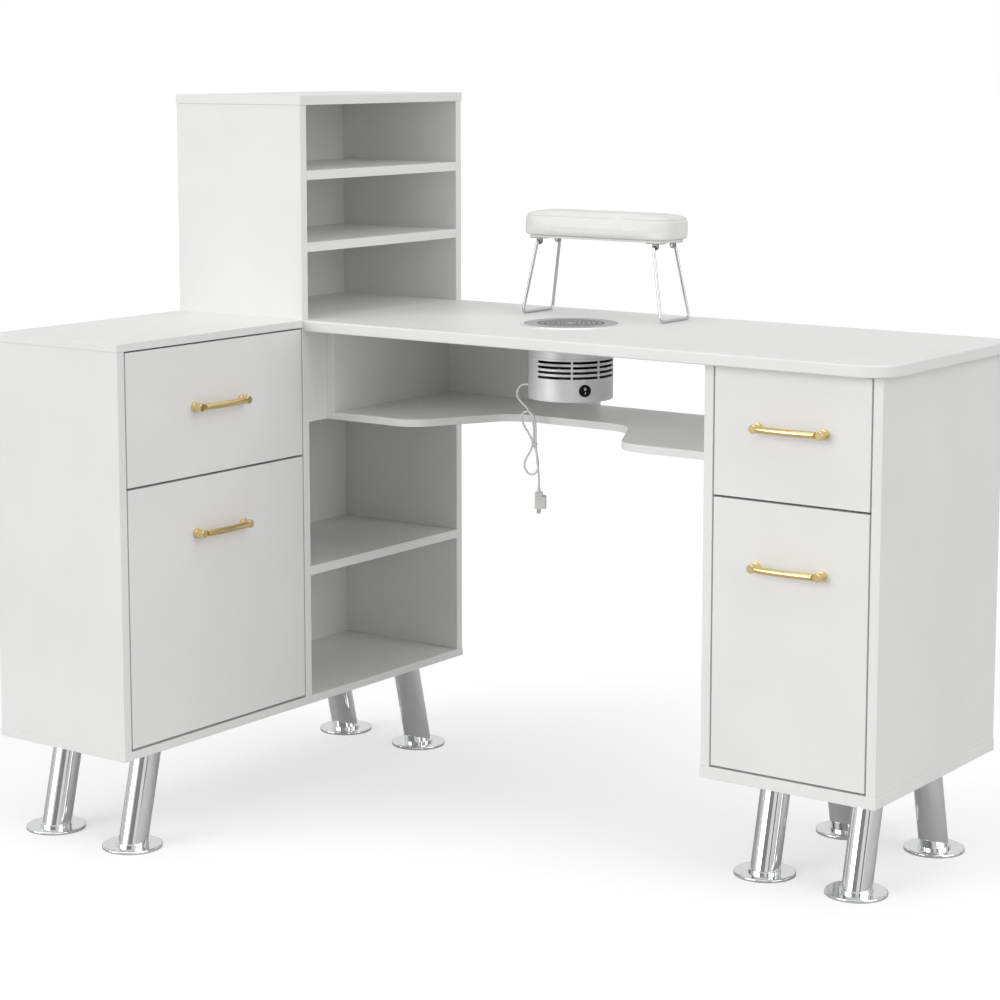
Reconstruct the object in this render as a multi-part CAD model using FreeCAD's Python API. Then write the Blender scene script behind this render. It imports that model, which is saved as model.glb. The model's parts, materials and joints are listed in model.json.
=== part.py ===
import FreeCAD, Part
import math
import os

V = FreeCAD.Vector
UP = V(0, 0, 1)

# Corner manicure desk: a low drawer unit with an open bay and a shelf tower on the left, a desktop
# reaching to the right over a drawer cabinet, a dust collector let into the top and a hand rest on it.
# Millimetres, +Z up, origin on the floor under the middle of the whole object, drawers of the left
# unit facing +X and drawers of the right cabinet facing -Y.

# ---------------------------------------------------------------- driving dimensions
LENGTH_X = 1308.0            # left face of the drawer unit to right edge of the desktop
LEFT_LENGTH = 846.0          # left unit, along Y
LEFT_DEPTH = 266.0           # left unit, along X
UNDERSIDE = 155.0            # bottom of both cabinets above the floor
DESK_TOP = 787.0
TOWER_TOP = 1144.0
BOARD = 15.0                 # sides, shelves, fronts
BACK = 12.0                  # back boards
BACK_INSET = 5.0
LIP = 1.0                    # caps and bases stand proud of the sides by this
EDGE = 0.8                   # softened edge of every board
GAP = 2.5                    # reveal round the drawer fronts

LEFT_CAP = 12.0
LEFT_BASE = 13.0
DESK_THICK = 18.0
DESK_WIDTH = 420.0
DESK_FRONT_OVER_TOWER = 1.0  # desktop front stands this far before the tower's near side
DESK_EDGE = 2.5
DESK_FRONT_RADIUS = 50.0
DESK_BACK_RADIUS = 35.0

CORNER_X = -LENGTH_X / 2 + LIP + LEFT_DEPTH      # plane of the left unit's fronts
LEFT_X = CORNER_X - LEFT_DEPTH
NEAR_Y = -LEFT_LENGTH / 2
FAR_Y = LEFT_LENGTH / 2
TOWER_LENGTH = 426.0
TOWER_Y = FAR_Y - TOWER_LENGTH
DESK_RIGHT = LENGTH_X / 2
DESK_Y = TOWER_Y + DESK_FRONT_OVER_TOWER
DESK_BOTTOM = DESK_TOP - DESK_THICK
LEFT_FLOOR = UNDERSIDE + LEFT_BASE
BACK_FACE = LEFT_X + BACK_INSET + BACK           # inner face of the left unit's backs

CABINET_WIDTH = 287.0
CABINET_DEPTH = 387.0
CABINET_BASE = 18.0
CABINET_X = CORNER_X + 738.0
CABINET_Y = 20.0
CABINET_FLOOR = UNDERSIDE + CABINET_BASE

SHELF_TOPS = (1025.0, 910.0)                     # the two shelves of the tower
BAY_SHELF_TOP = 383.0

APRON_BOTTOM = 621.0
SIDE_PANEL_Y = 57.0                              # front edge of the board hung under the desktop
UNDER_SHELF_THICK = 12.0
UNDER_SHELF_TOP = APRON_BOTTOM - 0.5 + UNDER_SHELF_THICK
UNDER_SHELF_BACK = 383.0
RECESS_Y = 220.0
SHELF_MIDDLE = -17.0                             # the recess is symmetric about this X
RECESS_OUTER = 198.0                             # half widths of the recess, at its mouth
RECESS_INNER = 112.0                             # and at its bottom
MOUTH_RADIUS = 55.0
RECESS_RADIUS = 70.0
HALF_BACK_RIGHT = -69.0                          # right end of the partial back board

DRAWER_CLEAR = 12.5                              # between drawer side and cabinet side
DRAWER_SIDE = 12.0
DRAWER_BOTTOM = 5.0
CHANNEL_HEIGHT = 35.0
CHANNEL_DEPTH = 10.0
CHANNEL_WALL = 1.5
CHANNEL_MOUTH = 20.0
SLIDE_PLAY = 0.5

HANDLE_SPACING = 107.0
HANDLE_REACH = 18.5
HANDLE_POST = 6.4                                # radii
HANDLE_BAR = 5.2
HANDLE_SCOOP = 7.4
HANDLE_BAR_OUT = 14.5
HANDLE_BOW = 5.0
HANDLE_FOOT = 7.3
HANDLE_FOOT_THICK = 5.0

LEG_RADIUS = 22.5
LEG_WALL = 1.5
LEG_LEAN = 36.0                                  # foot stands this much further out than the top
LEG_PLATE_RADIUS = 41.0
LEG_PLATE = 4.0
FOOT_RADIUS = 46.5
FOOT_THICK = 5.0
FOOT_ROUND = 2.0
COLLAR_RADIUS = 25.0
COLLAR_HEIGHT = 4.0
SCREW_CIRCLE = 33.0
SCREW_SHANK = 2.0
SCREW_HEAD = 4.0
SCREW_HEAD_THICK = 2.2
SCREW_BITE = 9.0                                 # depth of a screw in the base board
LEFT_LEG_HALF_X = 83.0
LEFT_LEG_HALF_Y = 360.0
RIGHT_LEG_HALF_X = 76.5
RIGHT_LEG_Y = (97.5, 350.5)

DUCT_X = -5.0                                    # axis of the dust collector
DUCT_Y = 200.5
DUCT_RADIUS = 67.0
DUCT_WALL = 2.5
DUCT_BOTTOM = 670.5
DUCT_JOINT = 738.5
DESK_HOLE = 68.5
FLANGE_RADIUS = 81.0
FLANGE_THICK = 2.2
FLANGE_BEVEL = 1.8
GRILLE_RADIUS = 74.5
GRILLE_THICK = 1.4
GRILLE_SEAT = 0.6                                # ledge height above the desktop
SLOT_RINGS = (                                   # outer radius, inner radius, slots
    (54.0, 47.4, 48),
    (45.0, 38.6, 48),
    (36.2, 30.6, 48),
    (28.2, 22.4, 24),
    (20.0, 15.0, 24),
    (12.6, 8.0, 12),
)
SLOT_SLANT = 50.0                                # from the radius, the same along every arm
SLOT_SHARE = 0.5                                 # of the pitch across the slots
BODY_PLAY = 0.3
FILTER_RADIUS = 60.0
FILTER_DEPTH = 24.0
VENT_HEIGHTS = (709.0, 717.0, 725.0, 733.0)      # middles of the vent rows
VENT_TALL = 4.2
VENT_SPANS = ((-106.6, -55.6), (-53.0, -16.2), (-13.9, 30.0))
MOTOR_RADIUS = 26.0
MOTOR_HEIGHT = 32.0
SHAFT_RADIUS = 3.0
SHAFT_TOP = 736.0
SHAFT_PLAY = 0.05
HUB_RADIUS = 17.0
HUB_BOTTOM = 712.0
HUB_TOP = 742.0
BLADES = 7
BLADE_REACH = 57.0
BLADE_CHORD = 34.0
BLADE_THICK = 1.8
BLADE_PITCH = 35.0

SWITCH_ANGLE = -36.7
SWITCH_Z = 689.3
SWITCH_FLANGE = 9.6
SWITCH_BODY = 9.0
SWITCH_WELL = 7.9
SWITCH_DEPTH = 9.0
SWITCH_PROUD = 2.0
ROCKER_RADIUS = 6.9
ROCKER_HALF = 2.5
ROCKER_TILT = 8.0
ROCKER_PIN = 1.0

CORD_DIAMETER = 3.4
GLAND_REACH = 14.0
GLAND_FLANGE = 5.5
GLAND_FLANGE_THICK = 2.5
GLAND_BODY = 4.0
GLAND_TIP = 2.4
CORD_ROUTE = [
    (-86.0, 200.5, 685.0), (-98.0, 200.5, 685.0), (-107.9, 200.3, 677.0), (-110.1, 200.0, 665.1),
    (-101.6, 199.6, 656.1), (-87.6, 199.0, 646.6), (-77.8, 198.5, 633.7), (-74.4, 198.1, 614.8),
    (-74.7, 198.0, 595.8), (-79.2, 198.1, 580.3), (-88.6, 198.5, 567.2), (-94.6, 199.0, 556.0),
    (-92.4, 199.5, 546.0), (-85.4, 200.0, 539.2), (-75.8, 200.5, 539.4), (-69.2, 201.0, 546.4),
    (-68.2, 201.5, 557.0), (-71.4, 202.1, 573.5), (-77.8, 202.2, 589.8), (-87.2, 201.5, 605.7),
    (-96.8, 199.6, 619.5), (-99.6, 197.2, 633.0), (-90.4, 195.4, 642.4), (-77.6, 194.4, 641.4),
    (-69.6, 194.0, 630.6), (-67.8, 194.0, 614.6), (-68.5, 194.0, 597.1), (-66.8, 194.0, 579.6),
    (-64.9, 194.0, 562.6), (-62.6, 194.0, 547.1), (-61.7, 194.0, 534.0), (-61.7, 194.0, 521.6),
]
TIE_CENTRE = (-73.4, 197.8)
TIE_SPACE = (17.2, 6.0)                          # clear space inside the tie
TIE_TURN = -42.0
TIE_HEIGHTS = (589.4, 592.4)
TIE_WALL = 0.7
PLUG_TAPER = 8.0
PLUG_NECK = 3.6
PLUG_SHOULDER = (13.0, 13.0, 6.0)
PLUG_OFFSET = 2.7                                # body off the line of the cord
PLUG_SIZE = (20.0, 18.4, 20.0)
PLUG_TURN = 122.0
BLADE_SIZE = (1.5, 6.3, 8.0)
BLADE_SPACING = 12.7

REST_X = -25.6                                   # middle of the hand rest
REST_Y = 329.0
REST_BOTTOM = 917.0
CUSHION = (284.0, 90.0, 40.0)
CUSHION_CORNER = 25.0
CUSHION_ROUND = 9.0
REST_BOARD = 4.0
REST_BOARD_INSET = 10.0
CLIP_PLATE = (30.0, 12.0, 1.5)
PIVOT_X = 111.8                                  # leg pivots each side of the middle
PIVOT_Z = 906.5
PIVOT_HALF_Y = 26.0
EYE_RADIUS = 5.2
EYE_WIDTH = 3.6
WIRE_RADIUS = 2.5
WIRE_PLAY = 0.1
FOOT_SPREAD = 21.7                               # foot bar further out than the pivot
FOOT_HALF_Y = 42.5
WIRE_BEND = 6.0
WIRE_END_BEND = 3.2


# ---------------------------------------------------------------- helpers
def save(name, *shapes):
    shape = shapes[0] if len(shapes) == 1 else Part.makeCompound(list(shapes))
    shape.exportStep(f"parts/{name}.step")


def block(x0, x1, y0, y1, z0, z1):
    return Part.makeBox(x1 - x0, y1 - y0, z1 - z0, V(x0, y0, z0))


def board(x0, x1, y0, y1, z0, z1, edge=EDGE):
    plain = block(x0, x1, y0, y1, z0, z1)
    return plain.makeFillet(edge, plain.Edges)


def rod(radius, start, end):
    start, end = V(*start), V(*end)
    return Part.makeCylinder(radius, (end - start).Length, start, end - start)


def disc(radius, z0, z1, x=0.0, y=0.0):
    return Part.makeCylinder(radius, z1 - z0, V(x, y, z0))


def corner_arc(before, corner, after, radius):
    """Tangent points and middle point of the arc that rounds a corner."""
    into, out = (before - corner).normalize(), (after - corner).normalize()
    half = into.getAngle(out) / 2
    reach = radius / math.tan(half)
    bisector = (into + out).normalize()
    centre = corner + bisector * (radius / math.sin(half))
    return corner + into * reach, centre - bisector * radius, corner + out * reach


def outline(corners, z):
    """Closed face of straight sides with its corners (x, y, radius) rounded."""
    points = [V(x, y, z) for x, y, _ in corners]
    edges, last = [], None
    first = None
    for i, point in enumerate(points):
        radius = corners[i][2]
        start, middle, end = point, None, point
        if radius:
            start, middle, end = corner_arc(points[i - 1], point, points[(i + 1) % len(points)], radius)
        if last is not None:
            edges.append(Part.LineSegment(last, start).toShape())
        else:
            first = start
        if radius:
            edges.append(Part.Arc(start, middle, end).toShape())
        last = end
    edges.append(Part.LineSegment(last, first).toShape())
    return Part.Face(Part.Wire(edges))


def slab(corners, z0, z1, edge):
    """A flat board of any outline, its upper and lower rims rounded."""
    solid = outline(corners, z0).extrude(V(0, 0, z1 - z0))
    rims = [e for e in solid.Edges if e.BoundBox.ZLength < 1e-6]
    return solid.makeFillet(edge, rims)


def bent_tube(points, radius, bends):
    """Round bar along straight runs joined by tangent arcs, one bend radius per inner point."""
    points = [V(*p) for p in points]
    edges, last = [], points[0]
    for i in range(1, len(points) - 1):
        start, middle, end = corner_arc(points[i - 1], points[i], points[i + 1], bends[i - 1])
        edges.append(Part.LineSegment(last, start).toShape())
        edges.append(Part.Arc(start, middle, end).toShape())
        last = end
    edges.append(Part.LineSegment(last, points[-1]).toShape())
    path = Part.Wire(edges)
    section = Part.Wire(Part.Circle(points[0], points[1] - points[0], radius).toShape())
    return path.makePipeShell([section], True, False), path.Length


def loose_bends(points):
    """Arc radii of a free cord: 0.45 of the shorter run over the tangent of half the turn."""
    points = [V(*p) for p in points]
    radii = []
    for before, corner, after in zip(points, points[1:], points[2:]):
        turn = (corner - before).getAngle(after - corner)
        shorter = min((corner - before).Length, (after - corner).Length)
        radii.append(0.45 * shorter / math.tan(turn / 2))
    return radii


def turned(shape, angle, offset):
    moved = shape.copy()
    moved.rotate(V(0, 0, 0), UP, angle)
    moved.translate(V(*offset))
    return moved


def ring_of(count, radius, x=0.0, y=0.0, phase=0.0):
    for i in range(count):
        angle = math.radians(phase + 360.0 * i / count)
        yield x + radius * math.cos(angle), y + radius * math.sin(angle)


# ---------------------------------------------------------------- legs
def leg_positions():
    """(foot x, foot y, direction of lean) of every leg, left unit first."""
    left_middle = LEFT_X + LEFT_DEPTH / 2
    right_middle = CABINET_X + CABINET_WIDTH / 2
    left = [(left_middle + sx * LEFT_LEG_HALF_X, sy * LEFT_LEG_HALF_Y, sy)
            for sy in (-1, 1) for sx in (-1, 1)]
    right = [(right_middle + sx * RIGHT_LEG_HALF_X, y, sy)
             for y, sy in zip(RIGHT_LEG_Y, (-1, 1)) for sx in (-1, 1)]
    return left, right


def leg(x, y, lean):
    """Leaning chromed tube on a round foot, one welded piece."""
    plate_z = UNDERSIDE - LEG_PLATE
    foot = disc(FOOT_RADIUS, 0, FOOT_THICK, x, y)
    foot = foot.makeFillet(FOOT_ROUND, [e for e in foot.Edges if e.BoundBox.ZMin > FOOT_THICK / 2])
    collar = disc(COLLAR_RADIUS, FOOT_THICK, FOOT_THICK + COLLAR_HEIGHT, x, y)
    collar = collar.makeFillet(1.0, [e for e in collar.Edges
                                     if e.BoundBox.ZMin > FOOT_THICK + COLLAR_HEIGHT / 2])
    axis = V(0, -lean * LEG_LEAN, plate_z)
    start = V(x, y, 0) - axis * 0.2
    reach = axis.Length * 1.4
    outer = Part.makeCylinder(LEG_RADIUS, reach, start, axis)
    inner = Part.makeCylinder(LEG_RADIUS - LEG_WALL, reach, start, axis)
    span = 3 * FOOT_RADIUS
    outer = outer.common(block(x - span, x + span, y - span, y + span, FOOT_THICK, plate_z))
    inner = inner.common(block(x - span, x + span, y - span, y + span, FOOT_THICK, plate_z))
    return foot.fuse(collar).fuse(outer).cut(inner).removeSplitter()


def leg_mount(x, y, lean):
    """Top plate and its four wood screws."""
    top_y = y - lean * LEG_LEAN
    plate = disc(LEG_PLATE_RADIUS, UNDERSIDE - LEG_PLATE, UNDERSIDE, x, top_y)
    screws = []
    for sx, sy in ring_of(4, SCREW_CIRCLE, x, top_y, 45.0):
        head_z = UNDERSIDE - LEG_PLATE - SCREW_HEAD_THICK
        head = disc(SCREW_HEAD, head_z, head_z + SCREW_HEAD_THICK, sx, sy)
        head = head.makeFillet(1.0, [e for e in head.Edges if e.BoundBox.ZMax < head_z + 1])
        shank = disc(SCREW_SHANK, head_z + SCREW_HEAD_THICK, UNDERSIDE + SCREW_BITE, sx, sy)
        plate = plate.cut(shank)
        screws.append(head.fuse(shank))
    return plate, screws


def make_legs():
    left, right = leg_positions()
    save("left_unit_legs", *[leg(*place) for place in left])
    save("right_cabinet_legs", *[leg(*place) for place in right])
    mounts = [leg_mount(*place) for place in left + right]
    screws = [screw for _, group in mounts for screw in group]
    save("leg_mount_plates", *[plate for plate, _ in mounts])
    save("leg_screws", *screws)
    return Part.makeCompound(screws)


# ---------------------------------------------------------------- left unit and tower
def make_left_unit(screws):
    near_side = (TOWER_Y, TOWER_Y + BOARD)
    tower_bottom = LEFT_FLOOR
    tower_under_top = TOWER_TOP - BOARD
    cap_bottom = DESK_TOP - LEFT_CAP
    inside = (near_side[1], FAR_Y - BOARD)

    base = board(LEFT_X - LIP, CORNER_X + LIP, NEAR_Y - LIP, FAR_Y + LIP, UNDERSIDE, LEFT_FLOOR)
    save("left_base_panel", base.cut(screws))
    save("left_cap_panel", board(LEFT_X - LIP, CORNER_X + LIP, NEAR_Y - LIP, TOWER_Y, cap_bottom, DESK_TOP))
    save("left_end_panel", board(LEFT_X, CORNER_X, NEAR_Y, NEAR_Y + BOARD, LEFT_FLOOR, cap_bottom))
    save("tall_side_near", board(LEFT_X, CORNER_X, *near_side, tower_bottom, tower_under_top))
    save("tall_side_far", board(LEFT_X, CORNER_X, FAR_Y - BOARD, FAR_Y, tower_bottom, tower_under_top))
    save("tower_top_panel", board(LEFT_X - LIP, CORNER_X + LIP, TOWER_Y - LIP, FAR_Y + LIP,
                                  tower_under_top, TOWER_TOP))
    save("tower_shelves", *[board(BACK_FACE, CORNER_X, *inside, top - BOARD, top) for top in SHELF_TOPS])
    save("tower_floor_panel", board(BACK_FACE, CORNER_X, *inside, DESK_TOP - BOARD, DESK_TOP))
    save("open_bay_shelf", board(BACK_FACE, CORNER_X, *inside, BAY_SHELF_TOP - BOARD, BAY_SHELF_TOP))
    save("bay_apron_panel", board(CORNER_X - BOARD, CORNER_X, *inside, APRON_BOTTOM, DESK_TOP - BOARD))
    save("left_back_panel", board(BACK_FACE - BACK, BACK_FACE, NEAR_Y + BOARD, TOWER_Y,
                                  LEFT_FLOOR, cap_bottom))
    save("tall_back_panel", board(BACK_FACE - BACK, BACK_FACE, *inside, tower_bottom, tower_under_top))


# ---------------------------------------------------------------- desktop and the boards under it
def make_desk():
    back_y = DESK_Y + DESK_WIDTH
    top = slab([(CORNER_X, DESK_Y, 0), (DESK_RIGHT, DESK_Y, DESK_FRONT_RADIUS),
                (DESK_RIGHT, back_y, DESK_BACK_RADIUS), (CORNER_X, back_y, 0)],
               DESK_BOTTOM, DESK_TOP, DESK_EDGE)
    save("desktop", top.cut(disc(DESK_HOLE, DESK_BOTTOM - 1, DESK_TOP + 1, DUCT_X, DUCT_Y)))

    panel_right = CORNER_X + BOARD
    shelf_bottom = UNDER_SHELF_TOP - UNDER_SHELF_THICK
    save("desk_side_panel", board(CORNER_X, panel_right, SIDE_PANEL_Y, UNDER_SHELF_BACK,
                                  shelf_bottom, DESK_BOTTOM))
    front = SIDE_PANEL_Y + 1
    corners = [(panel_right, front, 0),
               (SHELF_MIDDLE - RECESS_OUTER, front, MOUTH_RADIUS),
               (SHELF_MIDDLE - RECESS_INNER, RECESS_Y, RECESS_RADIUS),
               (SHELF_MIDDLE + RECESS_INNER, RECESS_Y, RECESS_RADIUS),
               (SHELF_MIDDLE + RECESS_OUTER, front, MOUTH_RADIUS),
               (CABINET_X, front, 0),
               (CABINET_X, UNDER_SHELF_BACK, 0),
               (panel_right, UNDER_SHELF_BACK, 0)]
    save("under_desk_shelf", slab(corners, shelf_bottom, UNDER_SHELF_TOP, EDGE))
    save("desk_back_panel", board(panel_right, HALF_BACK_RIGHT, UNDER_SHELF_BACK - BOARD,
                                  UNDER_SHELF_BACK, UNDER_SHELF_TOP, DESK_BOTTOM))


# ---------------------------------------------------------------- right cabinet
def make_right_cabinet(screws):
    right = CABINET_X + CABINET_WIDTH
    back = CABINET_Y + CABINET_DEPTH
    base = board(CABINET_X - LIP, right + LIP, CABINET_Y - LIP, back + LIP, UNDERSIDE, CABINET_FLOOR)
    save("right_base_panel", base.cut(screws))
    save("right_side_inner", board(CABINET_X, CABINET_X + BOARD, CABINET_Y, back, CABINET_FLOOR, DESK_BOTTOM))
    save("right_side_outer", board(right - BOARD, right, CABINET_Y, back, CABINET_FLOOR, DESK_BOTTOM))
    save("right_back_panel", board(CABINET_X + BOARD, right - BOARD, back - BACK_INSET - BACK,
                                   back - BACK_INSET, CABINET_FLOOR, DESK_BOTTOM))


# ---------------------------------------------------------------- drawers
def extruded_profile(points, y0, y1):
    """Profile of (x, z) points pushed along Y."""
    wire = Part.makePolygon([V(x, y0, z) for x, z in points + points[:1]])
    return Part.Face(wire).extrude(V(0, y1 - y0, 0))


def channel(wall_x, side, z, y0, y1):
    """Fixed C-shaped slide; side is the direction from the cabinet wall to the drawer."""
    tall, mouth = CHANNEL_HEIGHT / 2, CHANNEL_MOUTH / 2
    inner, lip = tall - CHANNEL_WALL, CHANNEL_DEPTH - CHANNEL_WALL
    half = [(0, tall), (CHANNEL_DEPTH, tall), (CHANNEL_DEPTH, mouth), (lip, mouth), (lip, inner),
            (CHANNEL_WALL, inner)]
    whole = half + [(x, -h) for x, h in reversed(half)]
    return extruded_profile([(wall_x + side * x, z + h) for x, h in whole], y0, y1)


def runner(wall_x, side, z, y0, y1):
    """T-shaped rail on the drawer side, its head inside the channel."""
    head = CHANNEL_HEIGHT / 2 - CHANNEL_WALL - SLIDE_PLAY
    neck = CHANNEL_MOUTH / 2 - SLIDE_PLAY
    near = CHANNEL_WALL + SLIDE_PLAY
    far = CHANNEL_DEPTH - CHANNEL_WALL - SLIDE_PLAY
    half = [(near, head), (far, head), (far, neck), (DRAWER_CLEAR, neck)]
    whole = half + [(x, -h) for x, h in reversed(half)]
    return extruded_profile([(wall_x + side * x, z + h) for x, h in whole], y0, y1)


def handle(z):
    """Cast bow handle: round posts, and a bar scooped out round each post's face and bowed outwards."""
    half = HANDLE_SPACING / 2
    ends = [V(sx * half, -HANDLE_BAR_OUT, z) for sx in (-1, 1)]
    middle = V(0, -HANDLE_BAR_OUT - HANDLE_BOW, z)
    path = Part.Wire(Part.Arc(ends[0], middle, ends[1]).toShape())
    tangent = path.Edges[0].tangentAt(path.Edges[0].FirstParameter)
    section = Part.Wire(Part.Circle(ends[0], tangent, HANDLE_BAR).toShape())
    shape = path.makePipeShell([section], True, False)
    for sx in (-1, 1):
        notch = rod(HANDLE_SCOOP, (sx * half, -HANDLE_REACH - HANDLE_SCOOP, z),
                    (sx * half, -HANDLE_REACH + 1.2, z))
        shape = shape.cut(notch)
    for sx in (-1, 1):
        post = rod(HANDLE_POST, (sx * half, -HANDLE_REACH, z), (sx * half, 0, z))
        post = post.makeChamfer(0.8, [e for e in post.Edges if e.BoundBox.YMax < -HANDLE_REACH / 2])
        foot = rod(HANDLE_FOOT, (sx * half, -HANDLE_FOOT_THICK, z), (sx * half, 0, z))
        foot = foot.makeFillet(0.8, [e for e in foot.Edges if e.BoundBox.YMax < -HANDLE_FOOT_THICK / 2])
        shape = shape.fuse(post).fuse(foot)
    return shape.removeSplitter()


def drawer_shapes(opening, z0, z1, depth, box_height, handle_z):
    """Drawer in its own frame: front face at y = 0, pulled towards -y, middle of the opening x = 0."""
    half_front = opening / 2 - GAP
    half_box = opening / 2 - DRAWER_CLEAR
    box_z = z0 + 20.0
    rail_z = box_z + 0.4 * box_height
    back_y = BOARD + depth
    sides = [board(x, x + DRAWER_SIDE, BOARD, back_y, box_z, box_z + box_height, 0.5)
             for x in (-half_box, half_box - DRAWER_SIDE)]
    inner = half_box - DRAWER_SIDE
    bottom_z = box_z + 8.0
    tail = board(-inner, inner, back_y - DRAWER_SIDE, back_y, bottom_z + DRAWER_BOTTOM,
                 box_z + box_height, 0.5)
    bottom = block(-inner, inner, BOARD, back_y, bottom_z, bottom_z + DRAWER_BOTTOM)
    rails = (BOARD + 2.0, back_y)
    return {
        "front": [board(-half_front, half_front, 0, BOARD, z0, z1)],
        "box": sides + [tail, bottom],
        "handle": [handle(handle_z)],
        "runners": [runner(side * opening / 2, -side, rail_z, *rails) for side in (-1, 1)],
        "channels": [channel(side * opening / 2, -side, rail_z, *rails) for side in (-1, 1)],
    }


def make_drawers():
    left_opening = TOWER_Y - (NEAR_Y + BOARD)
    left_place = (90.0, (CORNER_X, NEAR_Y + BOARD + left_opening / 2, 0))
    right_opening = CABINET_WIDTH - 2 * BOARD
    right_place = (0.0, (CABINET_X + CABINET_WIDTH / 2, CABINET_Y, 0))
    drawers = [
        ("left", "small", left_place, (left_opening, 569.8, 772.5, 228.0, 120.0, 676.5)),
        ("left", "deep", left_place, (left_opening, 171.5, 566.3, 228.0, 250.0, 480.5)),
        ("right", "small", right_place, (right_opening, 579.2, 766.3, 340.0, 120.0, 682.5)),
        ("right", "deep", right_place, (right_opening, 176.2, 575.8, 340.0, 250.0, 480.5)),
    ]
    channels = {"left": [], "right": []}
    for unit, size, (angle, offset), numbers in drawers:
        pieces = {kind: [turned(s, angle, offset) for s in shapes]
                  for kind, shapes in drawer_shapes(*numbers).items()}
        channels[unit] += pieces.pop("channels")
        for kind, shapes in pieces.items():
            save(f"{unit}_{size}_drawer_{kind}", *shapes)
    for unit, shapes in channels.items():
        save(f"{unit}_slide_channels", *shapes)


# ---------------------------------------------------------------- dust collector
def sector(inner, outer, z0, z1, start, end):
    """Part of a ring between two bearings in degrees."""
    ring = Part.makeCylinder(outer, z1 - z0, V(0, 0, z0), UP, end - start)
    ring = ring.cut(disc(inner, z0 - 1, z1 + 1))
    ring.rotate(V(0, 0, 0), UP, start)
    return ring


def at_duct(shape):
    return turned(shape, 0.0, (DUCT_X, DUCT_Y, 0))


def grille_slots():
    """Cutters for short slanted slots, ring inside ring, lined up along spiral arms. They pass
    right through the plate."""
    top = DESK_TOP + GRILLE_SEAT + BODY_PLAY + GRILLE_THICK + 1.0
    slant = math.radians(SLOT_SLANT)
    rim = SLOT_RINGS[0][0]
    slots = []
    for outer, inner, count in SLOT_RINGS:
        middle = (outer + inner) / 2
        half_long = (outer - inner) / math.cos(slant) / 2
        half_wide = SLOT_SHARE * math.pi * middle / count * math.cos(slant)
        turned_on = math.degrees(math.tan(slant) * math.log(rim / middle))
        for i in range(count):
            slot = block(-half_long, half_long, -half_wide, half_wide, DESK_TOP, top)
            slot.rotate(V(0, 0, 0), UP, SLOT_SLANT)
            slot.translate(V(middle, 0, 0))
            slot.rotate(V(0, 0, 0), UP, 360.0 * i / count - turned_on)
            slots.append(slot)
    return Part.makeCompound(slots)


def make_duct():
    inner = DUCT_RADIUS - DUCT_WALL
    top = DESK_TOP + FLANGE_THICK
    seat = DESK_TOP + GRILLE_SEAT
    flange = disc(FLANGE_RADIUS, DESK_TOP, top)
    flange = flange.makeChamfer(FLANGE_BEVEL, [e for e in flange.Edges if e.BoundBox.ZMin > top - 0.1])
    collar = flange.fuse(disc(DUCT_RADIUS, DUCT_JOINT, DESK_TOP))
    collar = collar.makeChamfer(0.8, [e for e in collar.Edges if e.BoundBox.ZMax < DUCT_JOINT + 0.1])
    collar = collar.cut(disc(inner, DUCT_JOINT - 1, top + 1)).cut(disc(GRILLE_RADIUS + 0.4, seat, top + 1))
    save("duct_collar", at_duct(collar))

    plate = disc(GRILLE_RADIUS, seat + BODY_PLAY, seat + BODY_PLAY + GRILLE_THICK)
    save("grille_cover", at_duct(plate.cut(grille_slots())))
    filter_top = seat + BODY_PLAY
    save("dust_filter", at_duct(disc(FILTER_RADIUS, filter_top - FILTER_DEPTH, filter_top)))

    shell = disc(DUCT_RADIUS, DUCT_BOTTOM, DUCT_JOINT)
    shell = shell.makeFillet(2.0, [e for e in shell.Edges if e.BoundBox.ZMax < DUCT_BOTTOM + 0.1])
    shell = shell.cut(disc(inner, DUCT_BOTTOM + DUCT_WALL, DUCT_JOINT + 1))
    for z in VENT_HEIGHTS:
        low, high = z - VENT_TALL / 2, z + VENT_TALL / 2
        for start, end in VENT_SPANS:
            shell = shell.cut(sector(inner - 1, DUCT_RADIUS + 1, low, high, start, end))
    switch_hole = rod(SWITCH_BODY + 0.1, (inner - 5, 0, SWITCH_Z), (DUCT_RADIUS + 5, 0, SWITCH_Z))
    switch_hole.rotate(V(0, 0, 0), UP, SWITCH_ANGLE)
    cord_z = CORD_ROUTE[0][2]
    gland_hole = rod(GLAND_BODY, (-DUCT_RADIUS - 5, 0, cord_z), (-inner + 5, 0, cord_z))
    shell = shell.cut(switch_hole).cut(gland_hole)
    save("duct_shell", at_duct(shell))

    floor = DUCT_BOTTOM + DUCT_WALL
    motor = disc(MOTOR_RADIUS, floor, floor + MOTOR_HEIGHT)
    motor = motor.makeFillet(3.0, [e for e in motor.Edges if e.BoundBox.ZMin > floor + 1])
    save("fan_motor", at_duct(motor.fuse(disc(SHAFT_RADIUS, floor + MOTOR_HEIGHT - 1, SHAFT_TOP))))
    save("fan_rotor", at_duct(rotor()))
    make_switch(shell)
    make_gland(shell, cord_z)


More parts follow.
